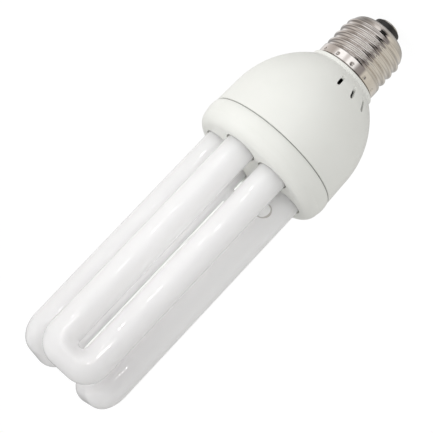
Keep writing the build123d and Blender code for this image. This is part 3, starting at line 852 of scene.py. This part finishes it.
def noise(tree, grain, stretch=(1, 1, 1), detail=3.0):
    """Noise with grains of about this size, in metres."""
    place = object_place(tree, stretch)
    node = add(tree, "ShaderNodeTexNoise", {"Vector": place, "Scale": 1 / grain, "Detail": detail})
    return node.outputs[0]


def tinted(tree, value, dark, light):
    """A colour between a dark and a light one, by a noise."""
    ramp = add(tree, "ShaderNodeValToRGB", {0: value})
    first, last = ramp.color_ramp.elements
    first.position = NOISE_LOW
    last.position = NOISE_HIGH
    first.color = (*dark, 1)
    last.color = (*light, 1)
    return ramp.outputs[0]


def ranged(tree, value, least, most):
    """A number between two others, by a noise."""
    node = add(tree, "ShaderNodeMapRange", {0: value, 1: NOISE_LOW, 2: NOISE_HIGH, 3: least, 4: most})
    return node.outputs[0]


def raised(tree, height, depth, strength=1.0):
    """Normals of a surface raised by a height from 0 to 1 times the depth, in metres."""
    node = add(tree, "ShaderNodeBump", {"Height": height, "Distance": depth, "Strength": strength})
    return node.outputs[0]


def shaded(tree, colour, share, other):
    """A colour that turns into another one by a share."""
    mixed = add(tree, "ShaderNodeMix", {"Factor": share}, data_type="RGBA")
    feed(tree, mixed.inputs[6], colour)
    mixed.inputs[7].default_value = (*other, 1)
    return mixed.outputs[2]


def within(tree, value, start, end, soft):
    """One between two values and nothing outside them, with soft ends."""
    rise = fade(tree, value, start - soft, start + soft)
    fall = fade(tree, value, end - soft, end + soft, 1.0, 0.0)
    return times(tree, rise, fall)


def bridge_crease_shade(tree):
    """Painted shade in the crease where the front bridge is blown into the glass of its two legs."""
    place = add(tree, "ShaderNodeTexCoord").outputs["Object"]
    turn = (0, 0, radians(-BRIDGE_AZIMUTH))
    place = add(tree, "ShaderNodeMapping", {"Vector": place, "Rotation": turn}).outputs[0]
    x, y, z = add(tree, "ShaderNodeSeparateXYZ", {0: place}).outputs
    half_angle = radians(180 / U_COUNT - leg_half_angle)
    aside = minus(tree, x, leg_r * cos(half_angle) * MM)
    above = minus(tree, z, (face_z + BRIDGE_HEIGHT) * MM)
    far = distance(tree, aside, above)
    leg_wall = leg_r * sin(half_angle) - tube_r
    start, end, soft = CREASE_SHADE_ENDS
    apart = calc(tree, "ABSOLUTE", y)
    ends = within(tree, apart, (leg_wall + start) * MM, (leg_wall + end) * MM, soft * MM)
    start, end, soft = CREASE_SHADE_RING
    ring = within(tree, far, (bridge_r + start) * MM, (bridge_r + end) * MM, soft * MM)
    return times(tree, ends, ring)


def nickel_plate():
    """Bright plating on rolled sheet: cloudy, with fine drawing lines round the axis, a dull end and a
    painted shade line under the neck.
    """
    material, tree, shader = new_finish("nickel_plate")
    cloud = noise(tree, 4 * MM)
    lines = noise(tree, 1 * MM, (0.15, 0.15, 6))
    plate = tinted(tree, cloud, (0.69, 0.655, 0.63), (0.77, 0.74, 0.715))
    height = level(tree)
    # Painted shade: a thin dark line on the skirt under the neck's overhang
    start, end = SEAM_SHADE
    seam_shade = fade(tree, height, (neck_z - start) * MM, (neck_z - end) * MM)
    feed(tree, shader.inputs["Base Color"], shaded(tree, plate, seam_shade, (0.16, 0.145, 0.13)))
    start, end = PRESSED_END
    dull = fade(tree, height, (lip_z + start) * MM, (lip_z + end) * MM, 0.25, 0.0)
    feed(tree, shader.inputs["Roughness"], plus(tree, ranged(tree, lines, 0.06, 0.12), dull))
    feed(tree, shader.inputs["Normal"], raised(tree, lines, 0.0008 * MM))
    shader.inputs["Metallic"].default_value = 1.0
    return material


def moulded_white():
    """White moulded housing with a very fine grain, and a painted shade line in the parting groove."""
    material, tree, shader = new_finish("moulded_white")
    cloud = noise(tree, 15 * MM)
    grain = noise(tree, 0.3 * MM)
    plastic = tinted(tree, cloud, (0.865, 0.87, 0.825), (0.89, 0.894, 0.852))
    # Painted shade on the floor of the parting groove
    groove = within(tree, level(tree), dome_end_z * MM, holder_z * MM, GROOVE_SHADE_SOFT * MM)
    feed(tree, shader.inputs["Base Color"], shaded(tree, plastic, groove, (0.45, 0.45, 0.43)))
    feed(tree, shader.inputs["Roughness"], ranged(tree, grain, 0.34, 0.44))
    feed(tree, shader.inputs["Normal"], raised(tree, grain, 0.006 * MM, 0.5))
    shader.inputs["IOR"].default_value = 1.48
    return material


def coated_glass():
    """Clear glass over a matt white coating, with painted light near the holder, painted shade towards the
    bends and painted shade in the front bridge's crease.
    """
    material, tree, shader = new_finish("coated_glass")
    cloud = noise(tree, 12 * MM, (1, 1, 0.35))
    wave = noise(tree, 20 * MM, (1, 1, 0.5), 1.0)
    coating = tinted(tree, cloud, (0.816, 0.806, 0.808), (0.836, 0.832, 0.826))
    height = level(tree)
    # Painted shade: the tubes turn darker towards the bends
    bend_shade = fade(tree, height, (face_z + BEND_SHADE_FROM) * MM, lamp_z * MM, 0.0, 0.75)
    coating = shaded(tree, coating, bend_shade, (0.72, 0.71, 0.71))
    # Painted light: the tubes turn lighter close to the holder, against the shade that falls there
    holder_light = fade(tree, height, face_z * MM, (face_z + HOLDER_LIGHT_TO) * MM, 0.5, 0.0)
    coating = shaded(tree, coating, holder_light, (0.92, 0.92, 0.92))
    # Painted shade in the crease where the front bridge meets its legs
    feed(tree, shader.inputs["Base Color"], shaded(tree, coating, bridge_crease_shade(tree), (0.5, 0.48, 0.46)))
    feed(tree, shader.inputs["Coat Normal"], raised(tree, wave, 0.004 * MM))
    shader.inputs["Roughness"].default_value = 0.55
    shader.inputs["Subsurface Weight"].default_value = 1.0
    shader.inputs["Subsurface Radius"].default_value = (1, 1, 1)
    shader.inputs["Subsurface Scale"].default_value = 0.02
    shader.inputs["Coat Weight"].default_value = 1.0
    shader.inputs["Coat Roughness"].default_value = 0.04
    shader.inputs["Coat IOR"].default_value = 1.5
    return material


def black_glaze():
    """Black glaze of the insulator, a little cloudy."""
    material, tree, shader = new_finish("black_glaze")
    cloud = noise(tree, 2 * MM)
    glaze = tinted(tree, cloud, (0.022, 0.022, 0.022), (0.036, 0.035, 0.034))
    feed(tree, shader.inputs["Base Color"], glaze)
    feed(tree, shader.inputs["Roughness"], ranged(tree, cloud, 0.3, 0.4))
    feed(tree, shader.inputs["Normal"], raised(tree, cloud, 0.02 * MM))
    return material


def spun_contact():
    """Satin metal of the contact disc."""
    material, tree, shader = new_finish("spun_contact")
    lines = noise(tree, 0.6 * MM)
    feed(tree, shader.inputs["Base Color"], tinted(tree, lines, (0.62, 0.6, 0.56), (0.76, 0.74, 0.7)))
    feed(tree, shader.inputs["Roughness"], ranged(tree, lines, 0.28, 0.42))
    feed(tree, shader.inputs["Normal"], raised(tree, lines, 0.01 * MM))
    shader.inputs["Metallic"].default_value = 1.0
    return material


def plain_finish(name, dark, light, grain, rough, depth=0.01, metallic=0.0):
    """A hidden part's finish: two tones of one colour, with a grain and its depth in millimetres."""
    material, tree, shader = new_finish(name)
    spots = noise(tree, grain * MM)
    feed(tree, shader.inputs["Base Color"], tinted(tree, spots, dark, light))
    feed(tree, shader.inputs["Roughness"], ranged(tree, spots, rough * 0.85, rough * 1.15))
    feed(tree, shader.inputs["Normal"], raised(tree, spots, depth * MM))
    shader.inputs["Metallic"].default_value = metallic
    return material


def wound_copper():
    """Enamelled wire: turns laid side by side along the lamp's axis."""
    material, tree, shader = new_finish("wound_copper")
    bands = 2 * pi / (20 * WINDING_WIRE * MM)
    wave = add(
        tree,
        "ShaderNodeTexWave",
        {"Vector": object_place(tree), "Scale": bands, "Distortion": 0.6},
        bands_direction="Z",
    ).outputs[1]
    feed(tree, shader.inputs["Base Color"], tinted(tree, wave, (0.36, 0.13, 0.05), (0.72, 0.34, 0.15)))
    feed(tree, shader.inputs["Normal"], raised(tree, wave, 0.1 * MM))
    shader.inputs["Metallic"].default_value = 0.8
    shader.inputs["Roughness"].default_value = 0.35
    return material


finishes = {
    "nickel_shell": nickel_plate(),
    "black_insulator": black_glaze(),
    "contact_metal": spun_contact(),
    "white_housing": moulded_white(),
    "coated_glass": coated_glass(),
    "cement": plain_finish("poured_cement", (0.68, 0.66, 0.6), (0.8, 0.78, 0.73), 0.8, 0.85, 0.1),
    "board": plain_finish("paper_board", (0.44, 0.31, 0.13), (0.55, 0.4, 0.19), 1.0, 0.6),
    "ferrite": plain_finish("fired_ferrite", (0.07, 0.07, 0.08), (0.13, 0.13, 0.14), 0.4, 0.7, 0.03),
    "copper_wire": wound_copper(),
    "black_plastic": plain_finish("black_moulding", (0.025, 0.025, 0.025), (0.05, 0.05, 0.05), 0.4, 0.5),
    "capacitor_sleeve": plain_finish("shrunk_sleeve", (0.035, 0.05, 0.11), (0.06, 0.08, 0.16), 4.0, 0.3),
    "film_capacitor": plain_finish(
        "dipped_lacquer", (0.45, 0.05, 0.03), (0.6, 0.09, 0.06), 2.0, 0.25, 0.04
    ),
    "resistor_body": plain_finish("resistor_lacquer", (0.55, 0.43, 0.3), (0.68, 0.56, 0.42), 1.0, 0.4),
    "tinned_wire": plain_finish(
        "tinned_wire", (0.66, 0.66, 0.68), (0.8, 0.8, 0.81), 0.5, 0.3, 0.01, 1.0
    ),
}


def turned_piece(name, section, tree, slot, segments, sharp=SHARP_ANGLE):
    """A piece turned from its section, with what its tree adds to it."""
    mesh = section_mesh(name + "_section", section)
    sizes = {"Points": len(section) + 1, "Segments": segments}
    return plain_piece(name, mesh, tree, finishes[slot], sizes, sharp)


# The six pieces that show
turned = turned_group()
dressed = {
    "screw_shell": turned_piece(
        "rolled_shell", shell_section(), threaded_shell_tree(turned), "nickel_shell", 360, 50
    ),
    "cap_insulator": turned_piece("insulator_plug", insulator_section(), turned, "black_insulator", 128),
    "centre_contact": turned_piece("contact_disc", contact_section(), turned, "contact_metal", 96),
    "upper_housing": turned_piece(
        "moulded_dome", dome_section(), vented_dome_tree(turned), "white_housing", 256
    ),
    "lower_housing": turned_piece(
        "moulded_holder", holder_section(), tube_holder_tree(turned), "white_housing", 256
    ),
    "discharge_tube": plain_piece(
        "bent_tubes", u_tube_mesh(), tube_cluster_tree(), finishes["coated_glass"]
    ),
}
slots = {part["node"]: part["material_slot"] for part in frame["record"]["subparts"]}
for node, piece in dressed.items():
    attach(piece, "root")
    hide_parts(node)

# The parts inside keep their solids and get their finishes
for node, solid in frame["nodes"].items():
    if node not in dressed:
        for material_slot in solid.material_slots:
            material_slot.material = finishes[slots[node]]


def facing(place, aim, side="Z"):
    """Matrix of something at a place with one side turned towards the aim."""
    turn = (Vector(aim) - Vector(place)).to_track_quat(side, "Y")
    return Matrix.LocRotScale(Vector(place), turn, None)


def card(name, place, aim, wide, tall, material):
    """A flat studio card, turned towards a point."""
    mesh = bpy.data.meshes.new(name)
    x, y = wide / 2, tall / 2
    mesh.from_pydata([(-x, -y, 0), (x, -y, 0), (x, y, 0), (-x, y, 0)], [], [(0, 1, 2, 3)])
    mesh.materials.append(material)
    item = bpy.data.objects.new(name, mesh)
    bpy.context.collection.objects.link(item)
    item.matrix_world = facing(place, aim)
    return item


def soft_light(name, place, aim, wide, tall, power):
    """A rectangular lamp that neither the camera nor a glossy piece shows."""
    light = bpy.data.lights.new(name, "AREA")
    light.shape = "RECTANGLE"
    light.size = wide
    light.size_y = tall
    light.energy = power
    item = bpy.data.objects.new(name, light)
    bpy.context.collection.objects.link(item)
    item.matrix_world = facing(place, aim, "-Z")
    item.visible_camera = False
    item.visible_glossy = False
    return item


def receivers(name, pieces):
    """A group of pieces that some lamps keep their light to."""
    group = bpy.data.collections.new(name)
    for piece in pieces:
        group.objects.link(piece)
    return group


def studio_floor():
    """Pale floor that looks white to the camera and keeps a soft shadow."""
    material = bpy.data.materials.new("pale_floor")
    material.use_nodes = True
    tree = material.node_tree
    tree.nodes.clear()
    tone = (FLOOR_TONE, FLOOR_TONE, FLOOR_TONE, 1)
    matt = add(tree, "ShaderNodeBsdfDiffuse", {"Color": tone}).outputs[0]
    glow = add(tree, "ShaderNodeEmission", {"Color": (1, 1, 1, 1), "Strength": FLOOR_GLOW}).outputs[0]
    path = add(tree, "ShaderNodeLightPath").outputs
    seen = calc(tree, "MAXIMUM", path["Is Camera Ray"], path["Is Transmission Ray"])
    share = times(tree, seen, FLOOR_SEEN)
    mixed = add(tree, "ShaderNodeMixShader", {0: share, 1: matt, 2: glow}).outputs[0]
    add(tree, "ShaderNodeOutputMaterial", {"Surface": mixed})
    floor = card("studio_floor", (0, 0, 0), (0, 0, 1), FLOOR_SIZE, FLOOR_SIZE, material)
    floor.visible_glossy = False


def mirrored_room(tree):
    """What the gloss reflects: a window beside the camera, striped walls and a dark gap."""
    way = add(tree, "ShaderNodeTexCoord").outputs["Generated"]
    x, y, z = add(tree, "ShaderNodeSeparateXYZ", {0: way}).outputs
    front = radians(CAMERA_AZIMUTH - 90)
    aside = minus(tree, calc(tree, "ARCTAN2", y, x), front + pi)
    aside = minus(tree, calc(tree, "WRAP", aside, 2 * pi, 0.0), pi)
    aside = times(tree, aside, 180 / pi)
    climb = times(tree, calc(tree, "ARCSINE", z), 180 / pi)
    walls = add(tree, "ShaderNodeValToRGB", {0: calc(tree, "MULTIPLY_ADD", aside, 1 / 360, 0.5)})
    ramp = walls.color_ramp
    for stop, (angle, colour) in enumerate(ROOM_WALLS):
        part = ramp.elements[stop] if stop < 2 else ramp.elements.new(0.5 + angle / 360)
        part.position = 0.5 + angle / 360
        part.color = (*colour, 1)
    taper = calc(tree, "MULTIPLY_ADD", aside, GAP_SLOPE, climb)
    gap = times(tree, within(tree, aside, *GAP_ASIDE), fade(tree, taper, *GAP_EDGE, 1.0, 0.0))
    gap = times(tree, gap, fade(tree, climb, *GAP_TOP, 1.0, 0.0))
    gap = times(tree, gap, GAP_DARK)
    back = times(tree, within(tree, aside, *BACK_ASIDE), within(tree, climb, *BACK_CLIMB))
    back = times(tree, back, BACK_DARK)
    dark = calc(tree, "MAXIMUM", gap, back)
    band_angle = 2 * pi / BAND_PITCH
    wave = calc(tree, "COSINE", calc(tree, "MULTIPLY_ADD", climb, band_angle, band_angle * BAND_SHIFT))
    depth = fade(tree, aside, BAND_FROM[0], BAND_TO[0], BAND_FROM[1], BAND_TO[1])
    bands = calc(tree, "MULTIPLY_ADD", wave, depth, BAND_LEVEL)
    lit = times(tree, minus(tree, 1.0, dark), bands)
    first, second = WINDOW_PANES
    panes = plus(tree, within(tree, aside, *first), within(tree, aside, *second))
    window = times(tree, panes, within(tree, climb, *WINDOW_CLIMB))
    colour = shaded(tree, walls.outputs[0], window, (1, 1, 1))
    strength = calc(tree, "MULTIPLY_ADD", window, WINDOW_GLOW, lit)
    return colour, strength


def studio_world():
    """White to the camera, softer as light, and a room in reflections."""
    world = bpy.data.worlds.new("studio")
    bpy.context.scene.world = world
    world.use_nodes = True
    tree = world.node_tree
    tree.nodes.clear()
    path = add(tree, "ShaderNodeLightPath").outputs
    clear = calc(tree, "MAXIMUM", path["Is Camera Ray"], path["Is Transmission Ray"])
    strength = calc(tree, "MULTIPLY_ADD", clear, 1.0 - AMBIENT, AMBIENT)
    plain = add(tree, "ShaderNodeBackground", {"Color": (1, 1, 1, 1), "Strength": strength}).outputs[0]
    colour, strength = mirrored_room(tree)
    room = add(tree, "ShaderNodeBackground", {"Color": colour, "Strength": strength}).outputs[0]
    shade = add(tree, "ShaderNodeMixShader", {0: path["Is Glossy Ray"], 1: plain, 2: room}).outputs[0]
    add(tree, "ShaderNodeOutputWorld", {"Surface": shade})


def photo_camera():
    """The photograph's camera: a long lens in front and a little above, rolled until the cap is up right."""
    turn = radians(CAMERA_AZIMUTH)
    right = Vector((cos(turn), sin(turn), 0))
    place = Vector((sin(turn), -cos(turn), 0)) * CAMERA_DISTANCE + Vector((0, 0, CAMERA_HEIGHT))
    aim = Vector((0, 0, AIM_HEIGHT)) + right * AIM_ASIDE
    back = (place - aim).normalized()
    right = Vector((0, 0, 1)).cross(back).normalized()
    up = back.cross(right)
    roll_right, roll_up = CAMERA_ROLL
    x = right * roll_right + up * roll_up
    y = back.cross(x)
    camera = bpy.data.cameras.new("photo_camera")
    camera.lens = CAMERA_LENS
    camera.sensor_width = CAMERA_SENSOR
    camera.clip_start = CAMERA_NEAR * MM
    item = bpy.data.objects.new("photo_camera", camera)
    bpy.context.collection.objects.link(item)
    item.matrix_world = Matrix.Translation(place * MM) @ Matrix((x, y, back)).transposed().to_4x4()
    bpy.context.scene.camera = item


def studio_lamps():
    """A large key on the +X side, a weaker fill on the other, and a second key that spares the tubes."""
    soft_light("key_light", KEY_PLACE, LAMP_AIM, KEY_SIZE, KEY_SIZE, KEY_POWER)
    second = soft_light("housing_key", HOUSING_KEY_PLACE, LAMP_AIM, KEY_SIZE, KEY_SIZE, HOUSING_KEY_POWER)
    lit = [piece for node, piece in dressed.items() if node != "discharge_tube"]
    second.light_linking.receiver_collection = receivers("housing_and_cap", lit)
    soft_light("front_fill", FILL_PLACE, LAMP_AIM, FILL_WIDTH, FILL_TALL, FILL_POWER)


def inner_lamps():
    """Light that the white glass lets through into the space between the tubes."""
    middle = Vector((0, 0, (face_z + lamp_z) / 2 * MM))
    for angle in INNER_AZIMUTHS:
        way = Vector((cos(radians(angle)), sin(radians(angle)), 0))
        place = middle + way * INNER_OUT
        soft_light(f"inner_fill_{angle}", place, middle + way, INNER_WIDTH, INNER_TALL, INNER_POWER)


def glint_lamp(name, aside, height, wide, power, lit):
    """A small lamp at an angle from the camera and a height, which lights and glints on one group alone."""
    way = radians(CAMERA_AZIMUTH - 90 + aside)
    spot = Vector((cos(way) * GLINT_DISTANCE, sin(way) * GLINT_DISTANCE, height)) * MM
    lamp = soft_light(name, spot, (0, 0, spot.z), wide * MM, GLINT_TALL * MM, power)
    lamp.visible_glossy = True
    lamp.light_linking.receiver_collection = lit


def glint_lamps():
    """An uneven row beside the camera that glints along the tubes, and a few more for the front bend."""
    tubes = receivers("tubes_alone", [dressed["discharge_tube"]])
    for step in range(GLINT_COUNT):
        aside = GLINT_ASIDE + GLINT_SPREAD * sin(GLINT_SPREAD_STEP * step)
        height = GLINT_LOW + GLINT_PITCH * step + GLINT_SWAY * sin(GLINT_SWAY_STEP * step)
        glint_lamp(f"glint_{step}", aside, height, GLINT_WIDTH, GLINT_POWER, tubes)
    for step, (aside, height) in enumerate(BEND_GLINTS):
        glint_lamp(f"bend_glint_{step}", aside, height, BEND_GLINT_WIDTH, BEND_GLINT_POWER, tubes)


studio_floor()
studio_world()
studio_lamps()
inner_lamps()
glint_lamps()
photo_camera()

bpy.context.scene.view_settings.view_transform = "Standard"
